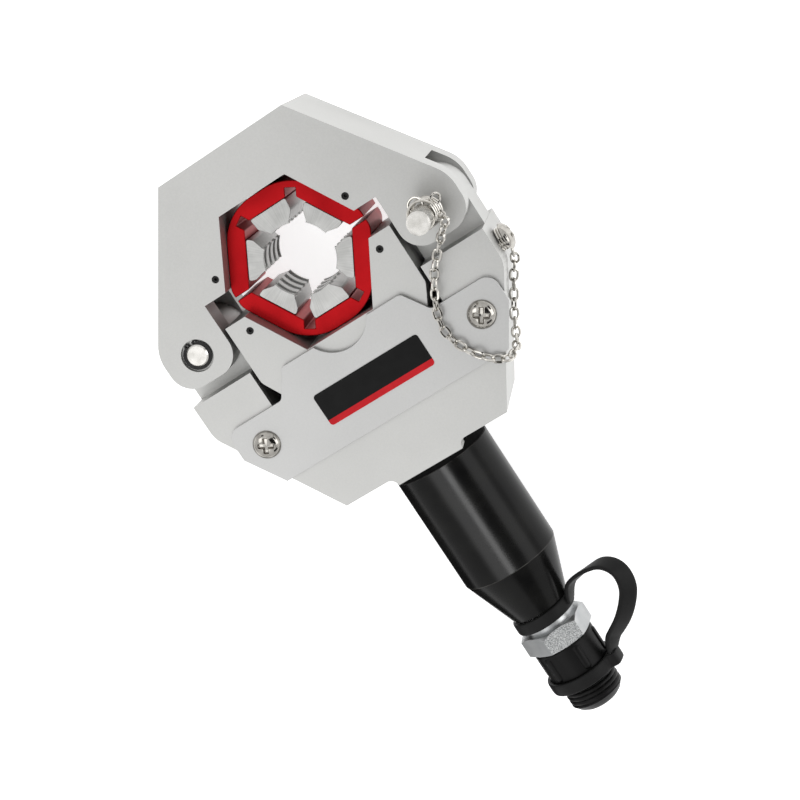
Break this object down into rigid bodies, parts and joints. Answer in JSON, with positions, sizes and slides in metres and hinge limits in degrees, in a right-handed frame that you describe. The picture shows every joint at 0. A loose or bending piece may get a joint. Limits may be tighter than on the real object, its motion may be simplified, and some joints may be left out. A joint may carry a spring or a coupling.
{
  "type": "hose crimping head",
  "caption": "Hand-held hydraulic crimping head for hose ferrules: pinned jaw, ram frame, split die ring, cylinder and capped coupler.",
  "frame": {"origin": "where the axis of the die bore crosses the axis of the ram, in the middle of the jaw's thickness", "axes": "+X to the right seen from the front, +Y from the cylinder to the top of the jaw, +Z along the die bore out of the front face; the head lies on its rear face, at Z = -0.027"},
  "size_m": [0.1598, 0.311, 0.088],
  "materials": {
    "blasted_aluminium": "bead blasted, satin",
    "cover_metal": "brushed and blasted, satin",
    "red_anodised": "red anodised, satin",
    "die_steel": "machined",
    "black_steel": "black oxide, satin",
    "polished_steel": "ground and polished",
    "zinc_plate": "zinc plated",
    "nickel_plate": "nickel plated",
    "black_rubber": "matt",
    "black_plastic": "moulded, satin",
    "seal_rubber": "matt",
    "spring_steel": "oiled"
  },
  "bodies": {
    "head": {"upper_jaw": "blasted_aluminium", "lower_frame": "blasted_aluminium", "front_cover_plate": "cover_metal", "cover_screws": "nickel_plate", "chain_screw": "nickel_plate", "chain_anchor_ring": "nickel_plate", "hinge_pin": "polished_steel", "hinge_pin_clip": "black_steel", "jaw_grub_screws": "black_steel", "upper_die_holder": "red_anodised", "die_segment_top": "die_steel", "die_segment_upper_right": "die_steel", "die_segment_upper_left": "die_steel", "rod_gland": "die_steel", "return_spring": "spring_steel", "cylinder_barrel": "black_steel", "coupler_nipple": "zinc_plate", "dust_cap_strap": "black_rubber", "safety_chain": "nickel_plate"},
    "ram": {"pusher_block": "blasted_aluminium", "pusher_bolt": "black_steel", "pusher_grub_screws": "black_steel", "lower_die_holder": "red_anodised", "die_segment_bottom": "die_steel", "die_segment_lower_right": "die_steel", "die_segment_lower_left": "die_steel", "piston": "polished_steel", "piston_seal": "seal_rubber"},
    "lock_pin": {"lock_pin": "polished_steel", "lock_pin_ring": "nickel_plate"},
    "strap_ring": {"strap_end_ring": "black_rubber"},
    "cap": {"dust_cap": "black_plastic"},
    "poppet": {"coupler_poppet": "die_steel"}
  },
  "joints": [
    {"name": "ram_stroke", "type": "slide", "parent": "head", "child": "ram", "axis": [0, 1, 0], "range_m": [-0.012, 0.0013], "deforming": ["return_spring"]},
    {"name": "lock_pin_pull", "type": "slide", "parent": "head", "child": "lock_pin", "axis": [0, 0, 1], "range_m": [0, 0.06]},
    {"name": "cap_slide", "type": "slide", "parent": "head", "child": "strap_ring", "axis": [0, -1, 0], "range_m": [0, 0.009]},
    {"name": "cap_unscrew", "type": "hinge", "parent": "strap_ring", "child": "cap", "pos_m": [0, -0.225, 0], "axis": [0, -1, 0], "range_deg": [0, 1080]},
    {"name": "poppet_press", "type": "slide", "parent": "head", "child": "poppet", "axis": [0, 1, 0], "range_m": [0, 0.003], "stiffness_N_per_m": 800, "springref_m": -0.002}
  ],
  "couplings": [
    {"joint": "cap_slide", "follows": "cap_unscrew", "m_per_rad": 0.0004775}
  ]
}
